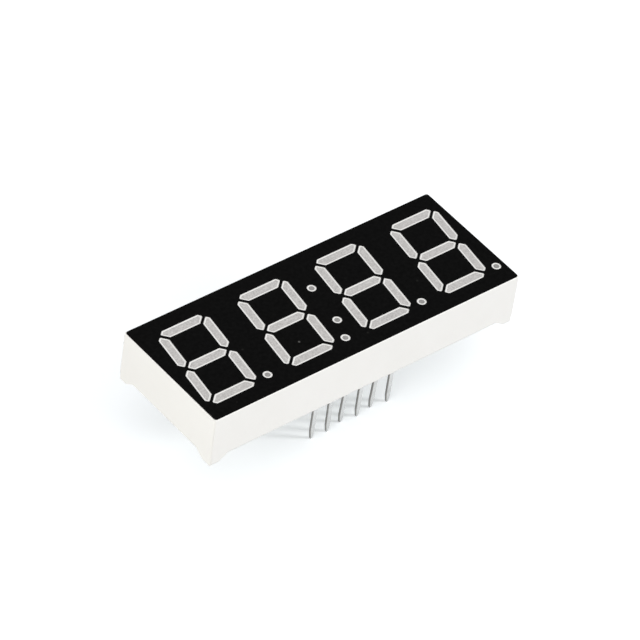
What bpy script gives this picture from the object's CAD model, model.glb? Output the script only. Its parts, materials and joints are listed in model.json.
"""The looks of a seven segment display module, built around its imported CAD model."""
import json
import math

import bmesh
import bpy
from mathutils import Matrix, Vector


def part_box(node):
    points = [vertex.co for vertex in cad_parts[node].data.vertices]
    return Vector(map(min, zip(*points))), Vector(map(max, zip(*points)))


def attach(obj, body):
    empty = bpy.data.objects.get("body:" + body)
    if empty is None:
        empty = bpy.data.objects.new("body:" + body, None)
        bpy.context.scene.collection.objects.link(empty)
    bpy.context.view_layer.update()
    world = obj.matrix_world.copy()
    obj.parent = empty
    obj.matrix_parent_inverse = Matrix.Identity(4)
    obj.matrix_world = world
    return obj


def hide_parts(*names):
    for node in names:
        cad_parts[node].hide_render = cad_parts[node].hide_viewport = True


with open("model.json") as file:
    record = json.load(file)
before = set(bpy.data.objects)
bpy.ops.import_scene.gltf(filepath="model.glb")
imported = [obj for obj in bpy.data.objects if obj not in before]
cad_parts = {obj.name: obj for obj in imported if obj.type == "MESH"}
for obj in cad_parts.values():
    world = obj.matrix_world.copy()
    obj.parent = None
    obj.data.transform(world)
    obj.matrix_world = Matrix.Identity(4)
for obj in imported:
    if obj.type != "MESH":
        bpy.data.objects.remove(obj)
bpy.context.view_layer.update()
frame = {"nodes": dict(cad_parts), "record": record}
NODES = frame["nodes"]
MM = 0.001
PINS = sorted(name for name in NODES if name.startswith("pin_"))

# ---------------------------------------------------------------- camera

CAMERA_AZIMUTH = math.radians(-44.65)
CAMERA_ELEVATION = math.radians(42.78)
CAMERA_ROLL = math.radians(8.68)
CAMERA_DISTANCE = 614.9 * MM
CAMERA_CLIP = 10 * MM
# The lens and the sensor's width, in millimetres as Blender takes them
CAMERA_LENS = 270.8
CAMERA_SENSOR = 36
# The middle of the picture, from the centre of the black face
AIM_FROM_FACE_CENTRE = Vector((-2.39, -2.07, 0)) * MM


def face_centre():
    low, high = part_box("face_ink")
    return Vector(((low.x + high.x) / 2, (low.y + high.y) / 2, high.z))


def make_camera():
    target = face_centre() + AIM_FROM_FACE_CENTRE
    towards_camera = Vector((
        math.sin(CAMERA_AZIMUTH) * math.cos(CAMERA_ELEVATION),
        -math.cos(CAMERA_AZIMUTH) * math.cos(CAMERA_ELEVATION),
        math.sin(CAMERA_ELEVATION),
    ))
    data = bpy.data.cameras.new("camera")
    data.lens = CAMERA_LENS
    data.sensor_width = CAMERA_SENSOR
    data.clip_start = CAMERA_CLIP
    camera = bpy.data.objects.new("camera", data)
    bpy.context.scene.collection.objects.link(camera)
    turn = towards_camera.to_track_quat("Z", "Y").to_matrix().to_4x4()
    place = Matrix.Translation(target + towards_camera * CAMERA_DISTANCE)
    camera.matrix_world = place @ turn @ Matrix.Rotation(CAMERA_ROLL, 4, "Z")
    bpy.context.scene.camera = camera


# ---------------------------------------------------------------- materials

# Places of the colour sockets on a Mix node, whose sockets share their names between types
MIX_FIRST_COLOUR = 6
MIX_SECOND_COLOUR = 7
MIX_COLOUR = 2
# Most of a noise's values lie between these
NOISE_LOW = 0.3
NOISE_HIGH = 0.7
# A speck is full up to the first distance from its cell's point, and gone at the second
SPECK_CORE = 0.08
SPECK_EDGE = 0.16


class Nodes:
    """A material's node tree, with short calls for what the materials here need."""

    def __init__(self, name):
        self.material = bpy.data.materials.new(name)
        self.material.use_nodes = True
        self.tree = self.material.node_tree
        self.shader = self.tree.nodes["Principled BSDF"]
        coordinates = self.add("ShaderNodeTexCoord")
        self.position = coordinates.outputs["Object"]
        self.normal = coordinates.outputs["Normal"]

    def add(self, kind, **settings):
        node = self.tree.nodes.new(kind)
        for name, value in settings.items():
            setattr(node, name, value)
        return node

    def link(self, output, socket):
        self.tree.links.new(output, socket)

    def feed(self, socket, value):
        """Links another node's output to a socket, or sets a plain number or colour there."""
        if isinstance(value, bpy.types.NodeSocket):
            self.link(value, socket)
        else:
            socket.default_value = (*value, 1) if isinstance(value, tuple) else value

    def set(self, **values):
        """Feeds the shader's sockets, whose names are written with underscores."""
        for name, value in values.items():
            self.feed(self.shader.inputs[name.replace("_", " ")], value)

    def math(self, operation, first, second=0.0):
        node = self.add("ShaderNodeMath", operation=operation)
        self.feed(node.inputs[0], first)
        self.feed(node.inputs[1], second)
        return node.outputs["Value"]

    def scaled(self, scale):
        """The object's position with each axis scaled, for stretched patterns."""
        mapping = self.add("ShaderNodeMapping")
        mapping.inputs["Scale"].default_value = scale
        self.link(self.position, mapping.inputs["Vector"])
        return mapping.outputs["Vector"]

    def distance_to(self, point):
        node = self.add("ShaderNodeVectorMath", operation="DISTANCE")
        self.link(self.position, node.inputs[0])
        node.inputs[1].default_value = point
        return node.outputs["Value"]

    def noise(self, size, detail=3, roughness=0.5, position=None):
        """Noise whose features are about `size` metres across."""
        noise = self.add("ShaderNodeTexNoise")
        noise.inputs["Scale"].default_value = 1 / size
        noise.inputs["Detail"].default_value = detail
        noise.inputs["Roughness"].default_value = roughness
        self.link(position or self.position, noise.inputs["Vector"])
        return noise.outputs["Fac"]

    def specks(self, size, share):
        """White specks on black, in about `share` of cells that are `size` metres across."""
        cells = self.add("ShaderNodeTexVoronoi")
        cells.inputs["Scale"].default_value = 1 / size
        self.link(self.position, cells.inputs["Vector"])
        chosen = self.add("ShaderNodeSeparateColor")
        self.link(cells.outputs["Color"], chosen.inputs["Color"])
        picked = self.math("LESS_THAN", chosen.outputs["Red"], share)
        near = self.ramp(cells.outputs["Distance"], (SPECK_CORE, 1.0), (SPECK_EDGE, 0.0))
        return self.math("MULTIPLY", picked, near)

    def ramp(self, value, *stops):
        """Colours or greys over a value: each stop is (position, colour)."""
        ramp = self.add("ShaderNodeValToRGB")
        elements = ramp.color_ramp.elements
        while len(elements) < len(stops):
            elements.new(0.5)
        for element, (position, colour) in zip(elements, stops):
            element.position = position
            element.color = (*(colour if isinstance(colour, tuple) else (colour,) * 3), 1)
        self.link(value, ramp.inputs["Fac"])
        return ramp.outputs["Color"]

    def spread(self, noise, low, high):
        """Colours or greys from low to high over the middle of a noise's range."""
        return self.ramp(noise, (NOISE_LOW, low), (NOISE_HIGH, high))

    def mix(self, factor, first, second):
        """The first colour where the factor is 0, the second where it is 1."""
        mix = self.add("ShaderNodeMix", data_type="RGBA")
        self.feed(mix.inputs["Factor"], factor)
        self.feed(mix.inputs[MIX_FIRST_COLOUR], first)
        self.feed(mix.inputs[MIX_SECOND_COLOUR], second)
        return mix.outputs[MIX_COLOUR]

    def colour(self, output):
        self.link(output, self.shader.inputs["Base Color"])

    def roughness(self, noise, low, high):
        self.link(self.spread(noise, low, high), self.shader.inputs["Roughness"])

    def bump(self, height, depth):
        """Bump whose height goes over `depth` metres."""
        bump = self.add("ShaderNodeBump")
        bump.inputs["Distance"].default_value = depth
        self.link(height, bump.inputs["Height"])
        self.link(bump.outputs["Normal"], self.shader.inputs["Normal"])


def white_plastic():
    """Satin white moulding: hardly any colour change, a fine skin and slightly uneven gloss."""
    n = Nodes("white_plastic")
    n.set(Specular_IOR_Level=0.4)
    broad = n.noise(6 * MM, detail=2)
    n.colour(n.spread(broad, (0.86, 0.853, 0.836), (0.876, 0.87, 0.856)))
    n.roughness(n.noise(0.9 * MM), 0.38, 0.5)
    n.bump(n.noise(0.16 * MM, detail=4), 0.004 * MM)
    return n.material


# The one larger speck of dust on the face, from the face's centre, and its radius
DUST_FROM_FACE_CENTRE = Vector((-7.2, -3.8, 0)) * MM
DUST_RADIUS = 0.2 * MM
DUST_GREY = (0.085, 0.085, 0.082)


def black_ink():
    """Screen-printed ink: deep black and matte, with the print's fine grain and a little dust."""
    n = Nodes("black_ink")
    n.set(Specular_IOR_Level=0.015)
    grain = n.ramp(n.noise(0.5 * MM, detail=5), (0.35, 0.002), (0.7, 0.0042))
    dusty = n.mix(n.specks(1.3 * MM, 0.07), grain, (0.012, 0.012, 0.011))
    to_dust = n.math("DIVIDE", n.distance_to(face_centre() + DUST_FROM_FACE_CENTRE), DUST_RADIUS)
    n.colour(n.mix(n.ramp(to_dust, (0.5, 1.0), (1.0, 0.0)), dusty, DUST_GREY))
    n.roughness(n.noise(1.2 * MM), 0.72, 0.76)
    n.bump(n.noise(0.12 * MM, detail=4), 0.003 * MM)
    return n.material


# The mottle's darkest and lightest greys, and the grey that it fades to in places
EPOXY_GREYS = ((0.335, 0.327, 0.322), (0.63, 0.616, 0.607), (0.5, 0.488, 0.481))
# The dots' share of the segments' greys, since their light guides are as deep but narrower
DOT_SHADE = 0.55


def diffused_epoxy(name="diffused_epoxy", shade=1.0):
    """Milky epoxy: grey with a fine mottle, as matte as the plastic round it."""
    n = Nodes(name)
    n.set(Specular_IOR_Level=0.35)
    mottle = n.noise(0.22 * MM, detail=4, roughness=0.6)
    fading = n.spread(n.noise(2.5 * MM, detail=1), 0.0, 0.35)
    low, high, mean = (tuple(shade * value for value in grey) for grey in EPOXY_GREYS)
    n.colour(n.mix(fading, n.spread(mottle, low, high), mean))
    n.roughness(mottle, 0.5, 0.6)
    n.bump(n.noise(0.3 * MM), 0.008 * MM)
    return n.material


def laminate():
    """Glass-fibre board: green-brown, with the faint crossing lines of its weave."""
    n = Nodes("laminate")
    along = n.noise(0.4 * MM, position=n.scaled((1, 8, 1)))
    across = n.noise(0.4 * MM, position=n.scaled((8, 1, 1)))
    weave = n.mix(0.5, along, across)
    n.colour(n.ramp(weave, (0.4, (0.16, 0.26, 0.09)), (0.6, (0.26, 0.36, 0.15))))
    n.roughness(along, 0.4, 0.55)
    n.bump(weave, 0.01 * MM)
    return n.material


def masked_copper():
    """Copper under green mask: lighter and yellower than the bare laminate beside it."""
    n = Nodes("masked_copper")
    patches = n.noise(0.8 * MM, detail=4)
    n.colour(n.spread(patches, (0.3, 0.42, 0.12), (0.38, 0.5, 0.17)))
    n.roughness(patches, 0.25, 0.4)
    n.bump(n.noise(0.3 * MM), 0.006 * MM)
    return n.material


def led_chip():
    n = Nodes("led_chip")
    n.colour(n.spread(n.noise(0.05 * MM), (0.3, 0.24, 0.12), (0.45, 0.37, 0.2)))
    n.roughness(n.noise(0.08 * MM), 0.2, 0.35)
    return n.material


def gold_wire():
    n = Nodes("gold_wire")
    n.set(Metallic=1.0)
    n.colour(n.spread(n.noise(0.03 * MM), (0.85, 0.6, 0.2), (0.95, 0.72, 0.3)))
    n.roughness(n.noise(0.05 * MM), 0.2, 0.3)
    return n.material


def tinned_pin():
    """Tin plate on a stamped strip: satin broad faces with drawn lines, and dark sheared edges."""
    n = Nodes("tinned_pin")
    n.set(Metallic=1.0)
    drawn = n.noise(0.08 * MM, position=n.scaled((1, 1, 0.06)))
    dull = n.noise(0.8 * MM, detail=4)
    bright = n.spread(drawn, (0.56, 0.56, 0.555), (0.7, 0.7, 0.69))
    plated = n.mix(n.ramp(dull, (0.45, 0.0), (0.75, 0.4)), bright, (0.5, 0.49, 0.47))
    tear = n.noise(0.06 * MM, detail=4, position=n.scaled((1, 0.15, 1)))
    sheared = n.spread(tear, (0.2, 0.195, 0.19), (0.38, 0.37, 0.36))
    axes = n.add("ShaderNodeSeparateXYZ")
    n.link(n.normal, axes.inputs["Vector"])
    on_edge = n.ramp(n.math("ABSOLUTE", axes.outputs["X"]), (0.35, 0.0), (0.7, 1.0))
    n.colour(n.mix(on_edge, plated, sheared))
    n.roughness(n.math("MAXIMUM", dull, on_edge), 0.24, 0.45)
    n.bump(drawn, 0.004 * MM)
    return n.material


def solder_metal():
    n = Nodes("solder_metal")
    n.set(Metallic=1.0)
    patches = n.noise(0.5 * MM, detail=4)
    n.colour(n.ramp(patches, (0.35, (0.55, 0.55, 0.54)), (0.7, (0.74, 0.74, 0.73))))
    n.roughness(patches, 0.18, 0.38)
    n.bump(n.noise(0.2 * MM), 0.01 * MM)
    return n.material


def sealing_resin():
    """Cast resin: mostly clear, cloudy and faintly yellow, with a poured gloss."""
    n = Nodes("sealing_resin")
    n.set(Alpha=0.25)
    cloud = n.noise(3.5 * MM, detail=4)
    n.colour(n.ramp(cloud, (0.35, (0.64, 0.59, 0.42)), (0.7, (0.76, 0.72, 0.58))))
    n.roughness(n.noise(5 * MM), 0.1, 0.22)
    n.bump(n.noise(4 * MM, detail=2), 0.03 * MM)
    return n.material


FINISHES = {
    "white_housing": white_plastic,
    "black_ink": black_ink,
    "diffused_epoxy": diffused_epoxy,
    "board_laminate": laminate,
    "led_die": led_chip,
    "gold_wire": gold_wire,
    "tinned_pin": tinned_pin,
    "solder": solder_metal,
    "sealing_resin": sealing_resin,
}


def finish_cad_nodes():
    """Gives every CAD node the finish of its material slot, but the dots a darker epoxy.

    Returns the slots' finishes.
    """
    materials = {slot: make() for slot, make in FINISHES.items()}
    dot_epoxy = diffused_epoxy("dot_epoxy", DOT_SHADE)
    for part in frame["record"]["subparts"]:
        name = part["node"]
        is_dot = name.endswith("_point") or name.startswith("colon_")
        for slot in NODES[name].material_slots:
            slot.material = dot_epoxy if is_dot else materials[part["material_slot"]]
    return materials


# ---------------------------------------------------------------- pieces


def add_piece(name, bm, material, smooth_below=35):
    """A piece on the one body, from a bmesh, whose edges sharper than an angle stay sharp."""
    bmesh.ops.recalc_face_normals(bm, faces=bm.faces)
    mesh = bpy.data.meshes.new(name)
    bm.to_mesh(mesh)
    bm.free()
    mesh.polygons.foreach_set("use_smooth", [True] * len(mesh.polygons))
    mesh.set_sharp_from_angle(angle=math.radians(smooth_below))
    mesh.materials.append(material)
    piece = bpy.data.objects.new(name, mesh)
    bpy.context.scene.collection.objects.link(piece)
    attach(piece, "root")
    return piece


def bridge(bm, first, second):
    """Quads between two rings of vertices that run the same way round."""
    for i in range(len(first)):
        j = (i + 1) % len(first)
        bm.faces.new((first[i], first[j], second[j], second[i]))


# The rounding of a pin's edges, and its steps
PIN_EDGE = 0.085 * MM
PIN_EDGE_STEPS = 3
# Edges that turn more than this are rounded, which leaves out a bend
PIN_SHARP_ANGLE = math.radians(30)
# Corners of a pin this close in height belong to one section of it
PIN_LEVEL = 0.1 * MM


def pin_levels(name):
    """A pin's corners from the tip up, as a rectangle at each height where its section changes."""
    levels = []
    for point in sorted((v.co for v in NODES[name].data.vertices), key=lambda co: co.z):
        if not levels or point.z - levels[-1][-1].z > PIN_LEVEL:
            levels.append([])
        levels[-1].append(point)
    rectangles = []
    for level in levels:
        xs, ys = [co.x for co in level], [co.y for co in level]
        z = sum(co.z for co in level) / len(level)
        corners = ((min(xs), min(ys)), (max(xs), min(ys)), (max(xs), max(ys)), (min(xs), max(ys)))
        rectangles.append([(x, y, z) for x, y in corners])
    return rectangles


def make_pins(material):
    """Each pin with the rounded edges that plating and stamping leave."""
    for name in PINS:
        bm = bmesh.new()
        rings = [[bm.verts.new(corner) for corner in rectangle] for rectangle in pin_levels(name)]
        for first, second in zip(rings, rings[1:]):
            bridge(bm, first, second)
        bm.faces.new(reversed(rings[0]))
        bm.faces.new(rings[-1])
        bm.normal_update()
        sharp = [edge for edge in bm.edges if edge.calc_face_angle(0) > PIN_SHARP_ANGLE]
        bmesh.ops.bevel(
            bm, geom=sharp, offset=PIN_EDGE, segments=PIN_EDGE_STEPS,
            profile=0.5, affect="EDGES", clamp_overlap=True,
        )
        piece = add_piece("tinned_" + name, bm, material)
        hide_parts(name)


def pin_section(name):
    """The centre and half sizes of a pin's section where it is straight, in the board."""
    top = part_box("circuit_board")[0].z
    ends = [v.co for v in NODES[name].data.vertices if v.co.z > top]
    low = Vector((min(p.x for p in ends), min(p.y for p in ends)))
    high = Vector((max(p.x for p in ends), max(p.y for p in ends)))
    return (low + high) / 2, (high - low) / 2


def superellipse(half, power, angle):
    """A point on a rounded rectangle of these half sizes: a power of 2 makes an ellipse."""
    c, s = math.cos(angle), math.sin(angle)
    return Vector((
        half.x * math.copysign(abs(c) ** (2 / power), c),
        half.y * math.copysign(abs(s) ** (2 / power), s),
    ))


# Corners round a joint, and steps along its cone
SOLDER_SIDES = 32
SOLDER_STEPS = 8
# Between the corners of a pin and the plated barrel that it goes through
BARREL_GAP = 0.08 * MM
# The solder's skin round a pin where its cone ends
SOLDER_SKIN = 0.02 * MM
# How hollow a cone's side is: 1 is straight
SOLDER_SWEEP = 2.2
# The powers of the solder's sections: round at the pad, nearly square on the pin
ROUND = 2
SQUARE = 8


def solder_ring(bm, centre, size, power, z):
    angles = [2 * math.pi * i / SOLDER_SIDES for i in range(SOLDER_SIDES)]
    corners = [superellipse(size, power, angle) for angle in angles]
    return [bm.verts.new((centre.x + p.x, centre.y + p.y, z)) for p in corners]


def make_solder(material):
    """Each joint: a plated barrel through the board, and a hollow-sided cone along the pin."""
    low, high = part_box("solder_joints")
    board_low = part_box("circuit_board")[0].z
    pad_radius = high.y - pin_section(PINS[-1])[0].y
    pad = Vector((pad_radius, pad_radius))
    bm = bmesh.new()
    for name in PINS:
        centre, half = pin_section(name)
        barrel = Vector((1, 1)) * (half.length + BARREL_GAP)
        skin = half + Vector((SOLDER_SKIN, SOLDER_SKIN))
        sections = [(barrel, ROUND, high.z), (barrel, ROUND, board_low)]
        for step in range(SOLDER_STEPS + 1):
            t = step / SOLDER_STEPS
            size = skin.lerp(pad, (1 - t) ** SOLDER_SWEEP)
            power = ROUND + (SQUARE - ROUND) * t
            sections.append((size, power, board_low + (low.z - board_low) * t))
        sections += [(half, SQUARE, low.z), (half, SQUARE, high.z)]
        rings = [solder_ring(bm, centre, *section) for section in sections]
        for first, second in zip(rings, rings[1:] + rings[:1]):
            bridge(bm, first, second)
    piece = add_piece("solder_cones", bm, material, smooth_below=50)
    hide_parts("solder_joints")


# The longest step between the pour's grid lines, and where its lines lie beside walls and pins
RESIN_STEP = 0.5 * MM
RESIN_NEAR = (0.06 * MM, 0.14 * MM, 0.26 * MM, 0.45 * MM, 0.7 * MM)
# How high the pour climbs walls and pins, and how far from them that dies away
RESIN_CLIMB = 0.16 * MM
RESIN_REACH = 0.28 * MM
# The unevenness of the open pour: its height, and its lengths along, across and aslant
RESIN_WAVE = 0.025 * MM
WAVE_ALONG = 4.1 * MM
WAVE_ACROSS = 3.3 * MM
WAVE_ASLANT = 7.7 * MM
# Between the pour and the board, so that their faces don't coincide
RESIN_GAP = 0.01 * MM


def grid_lines(features):
    """Lines over the features, closer together beside each of them."""
    lines = []
    for low, high in zip(features, features[1:]):
        near = [d for d in RESIN_NEAR if d < (high - low) / 2 - RESIN_NEAR[0]]
        lines += [low] + [low + d for d in near]
        start, end = (low + near[-1], high - near[-1]) if near else (low, high)
        count = max(1, math.ceil((end - start) / RESIN_STEP))
        lines += [start + (end - start) * i / count for i in range(1, count)]
        lines += [high - d for d in reversed(near)]
    return lines + [features[-1]]


def make_resin(material):
    """The pour: it climbs the walls and each pin in a thin edge, and is a little uneven between."""
    low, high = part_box("back_resin")
    board_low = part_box("circuit_board")[0].z
    sections = [pin_section(name) for name in PINS]
    xs, ys = (
        grid_lines(sorted(
            {low[axis], high[axis]}
            | {round(c[axis] + side * h[axis], 7) for c, h in sections for side in (-1, 1)}
        ))
        for axis in (0, 1)
    )

    def surface(x, y):
        gap = min(high.x - abs(x), high.y - abs(y))
        for centre, half in sections:
            dx, dy = max(abs(x - centre.x) - half.x, 0), max(abs(y - centre.y) - half.y, 0)
            gap = min(gap, math.hypot(dx, dy))
        wave = math.sin(x / WAVE_ALONG) * math.cos(y / WAVE_ACROSS)
        wave += math.sin((x + 2 * y) / WAVE_ASLANT)
        return low.z + RESIN_WAVE * wave - RESIN_CLIMB * math.exp(-gap / RESIN_REACH)

    def in_pin(x, y):
        return any(abs(x - c.x) < h.x and abs(y - c.y) < h.y for c, h in sections)

    bm = bmesh.new()
    lower = [[bm.verts.new((x, y, surface(x, y))) for y in ys] for x in xs]
    upper = [[bm.verts.new((x, y, board_low - RESIN_GAP)) for y in ys] for x in xs]
    open_sides = {}
    for i in range(len(xs) - 1):
        for j in range(len(ys) - 1):
            if in_pin((xs[i] + xs[i + 1]) / 2, (ys[j] + ys[j + 1]) / 2):
                continue
            corners = ((i, j), (i + 1, j), (i + 1, j + 1), (i, j + 1))
            bm.faces.new([lower[a][b] for a, b in corners])
            bm.faces.new([upper[a][b] for a, b in reversed(corners)])
            for first, second in zip(corners, corners[1:] + corners[:1]):
                side = frozenset((first, second))
                if side in open_sides:
                    del open_sides[side]
                else:
                    open_sides[side] = (first, second)
    for (a, b), (c, d) in open_sides.values():
        bm.faces.new((lower[c][d], lower[a][b], upper[a][b], upper[c][d]))
    bmesh.ops.delete(bm, geom=[v for v in bm.verts if not v.link_faces], context="VERTS")
    piece = add_piece("resin_pour", bm, material)
    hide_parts("back_resin")


TRACE_WIDTH = 0.35 * MM
TRACE_HEIGHT = 0.035 * MM
# How far the outermost pins' strips run in before they turn, and each next column's more than that
TRACE_RUN = 1.9 * MM
TRACE_PITCH = 0.8 * MM
# How far the slanted piece at a turn goes, each way
TRACE_TURN = 0.5 * MM
# From the board's end to the vias: a margin, and a step for each column from the middle
VIA_MARGIN = 2.2 * MM
VIA_PITCH = 1.7 * MM
VIA_RADIUS = 0.35 * MM
VIA_HOLE = 0.15 * MM
VIA_SIDES = 24
# How far a via's centre is beyond the strip's end, as a share of its radius
VIA_BEYOND = 0.9


def ribbon(bm, points, z):
    """A flat copper strip along these points, with mitred turns, hanging below z."""
    rings = []
    for i, point in enumerate(points):
        before = (point - points[i - 1]).normalized() if i else (points[1] - point).normalized()
        after = (points[i + 1] - point).normalized() if i + 1 < len(points) else before
        along = (before + after).normalized()
        across = Vector((-along.y, along.x)) * (TRACE_WIDTH / 2 / along.dot(before))
        left, right = point + across, point - across
        rings.append([
            bm.verts.new((left.x, left.y, z)),
            bm.verts.new((right.x, right.y, z)),
            bm.verts.new((right.x, right.y, z - TRACE_HEIGHT)),
            bm.verts.new((left.x, left.y, z - TRACE_HEIGHT)),
        ])
    for first, second in zip(rings, rings[1:]):
        bridge(bm, first, second)
    bm.faces.new(rings[0])
    bm.faces.new(reversed(rings[-1]))


def via(bm, centre, z):
    """A copper ring with a hole through it, hanging below z."""
    rings = []
    for radius, level in (
        (VIA_RADIUS, z), (VIA_RADIUS, z - TRACE_HEIGHT), (VIA_HOLE, z - TRACE_HEIGHT), (VIA_HOLE, z)
    ):
        angles = [2 * math.pi * i / VIA_SIDES for i in range(VIA_SIDES)]
        rings.append([
            bm.verts.new((centre.x + radius * math.cos(a), centre.y + radius * math.sin(a), level))
            for a in angles
        ])
    for first, second in zip(rings, rings[1:] + rings[:1]):
        bridge(bm, first, second)


def make_traces(material):
    """Copper on the board's back: from each pin a strip runs in, turns and goes out to a via."""
    board_low, board_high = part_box("circuit_board")
    z = board_low.z
    sections = [pin_section(name)[0] for name in PINS]
    columns = sorted({round(c.x, 6) for c in sections})
    middle = len(columns) / 2
    bm = bmesh.new()
    for centre in sections:
        column = min(range(len(columns)), key=lambda i: abs(columns[i] - centre.x))
        side = 1 if column >= middle else -1
        rank = column - middle + 1 if side > 0 else middle - column
        inward = -math.copysign(1, centre.y)
        run = TRACE_RUN + TRACE_PITCH * (middle - rank)
        turn = centre + Vector((0, inward * run))
        bend = turn + Vector((side, inward)) * TRACE_TURN
        end = Vector((side * (board_high.x - VIA_MARGIN - VIA_PITCH * rank), bend.y))
        ribbon(bm, [centre, turn, bend, end], z)
        via(bm, end + Vector((side * VIA_RADIUS * VIA_BEYOND, 0)), z)
    add_piece("board_copper", bm, material)


# ---------------------------------------------------------------- stage

FLOOR_SIZE = 3.0
# The floor's colours where it is seen, and the size of its patches of them
FLOOR_COLOURS = ((0.765, 0.785, 0.805), (0.785, 0.805, 0.825))
FLOOR_PATCH = 0.2
# What it gives back to the object: less than is seen, so that the object's lower edges stay dark
FLOOR_BOUNCE = (0.2, 0.2, 0.2)
# Its own light where it is seen, which makes it white beyond the shadows
FLOOR_SEEN_LIGHT = 0.4
FLOOR_SEEN_TINT = (0.93, 0.965, 1.0)
# The world's strength as light. Where it is seen, its strength is 1
WORLD_LIGHT = 0.58
# Name, place in metres, size in metres, power in watts and colour of each lamp
LAMPS = (
    ("right", (1.5, -1.17, 0.62), (0.4, 0.4), 28, (1.0, 1.0, 1.0)),
    ("left", (-0.64, -0.2, 0.18), (0.45, 0.45), 3.65, (1.0, 0.985, 0.93)),
    ("back", (0.5, 1.3, 0.45), (0.8, 0.8), 6.3, (1.0, 1.0, 1.0)),
)


def seen_directly(tree):
    """1 where the camera sees a surface straight, in a mirror or through glass, else 0."""
    path = tree.nodes.new("ShaderNodeLightPath")
    value = path.outputs["Is Camera Ray"]
    for name in ("Is Glossy Ray", "Is Transmission Ray"):
        node = tree.nodes.new("ShaderNodeMath")
        node.operation = "MAXIMUM"
        tree.links.new(value, node.inputs[0])
        tree.links.new(path.outputs[name], node.inputs[1])
        value = node.outputs["Value"]
    return value


def make_floor():
    half = FLOOR_SIZE / 2
    corners = [(-half, -half, 0), (half, -half, 0), (half, half, 0), (-half, half, 0)]
    mesh = bpy.data.meshes.new("floor")
    mesh.from_pydata(corners, [], [(0, 1, 2, 3)])
    floor = bpy.data.objects.new("floor", mesh)
    bpy.context.scene.collection.objects.link(floor)
    n = Nodes("floor")
    n.set(Specular_IOR_Level=0.1, Roughness=0.9)
    seen = seen_directly(n.tree)
    n.colour(n.mix(seen, FLOOR_BOUNCE, n.spread(n.noise(FLOOR_PATCH), *FLOOR_COLOURS)))
    seen_light = n.math("MULTIPLY", seen, FLOOR_SEEN_LIGHT)
    n.set(Emission_Color=FLOOR_SEEN_TINT, Emission_Strength=seen_light)
    mesh.materials.append(n.material)


def make_world():
    world = bpy.data.worlds.new("studio")
    bpy.context.scene.world = world
    world.use_nodes = True
    tree = world.node_tree
    background = tree.nodes["Background"]
    background.inputs["Color"].default_value = (1, 1, 1, 1)
    strength = tree.nodes.new("ShaderNodeMapRange")
    strength.inputs["To Min"].default_value = WORLD_LIGHT
    strength.inputs["To Max"].default_value = 1.0
    tree.links.new(seen_directly(tree), strength.inputs["Value"])
    tree.links.new(strength.outputs["Result"], background.inputs["Strength"])


def area_light(name, place, size, power, colour):
    """A rectangular lamp that faces the object's place, the origin."""
    data = bpy.data.lights.new(name, "AREA")
    data.shape = "RECTANGLE"
    data.size, data.size_y = size
    data.energy = power
    data.color = colour
    light = bpy.data.objects.new(name, data)
    bpy.context.scene.collection.objects.link(light)
    place = Vector(place)
    turn = place.to_track_quat("Z", "Y").to_matrix().to_4x4()
    light.matrix_world = Matrix.Translation(place) @ turn


bpy.context.scene.view_settings.view_transform = "Standard"
make_camera()
finishes = finish_cad_nodes()
make_pins(finishes["tinned_pin"])
make_solder(finishes["solder"])
make_resin(finishes["sealing_resin"])
make_traces(masked_copper())
make_floor()
make_world()
for lamp in LAMPS:
    area_light(*lamp)
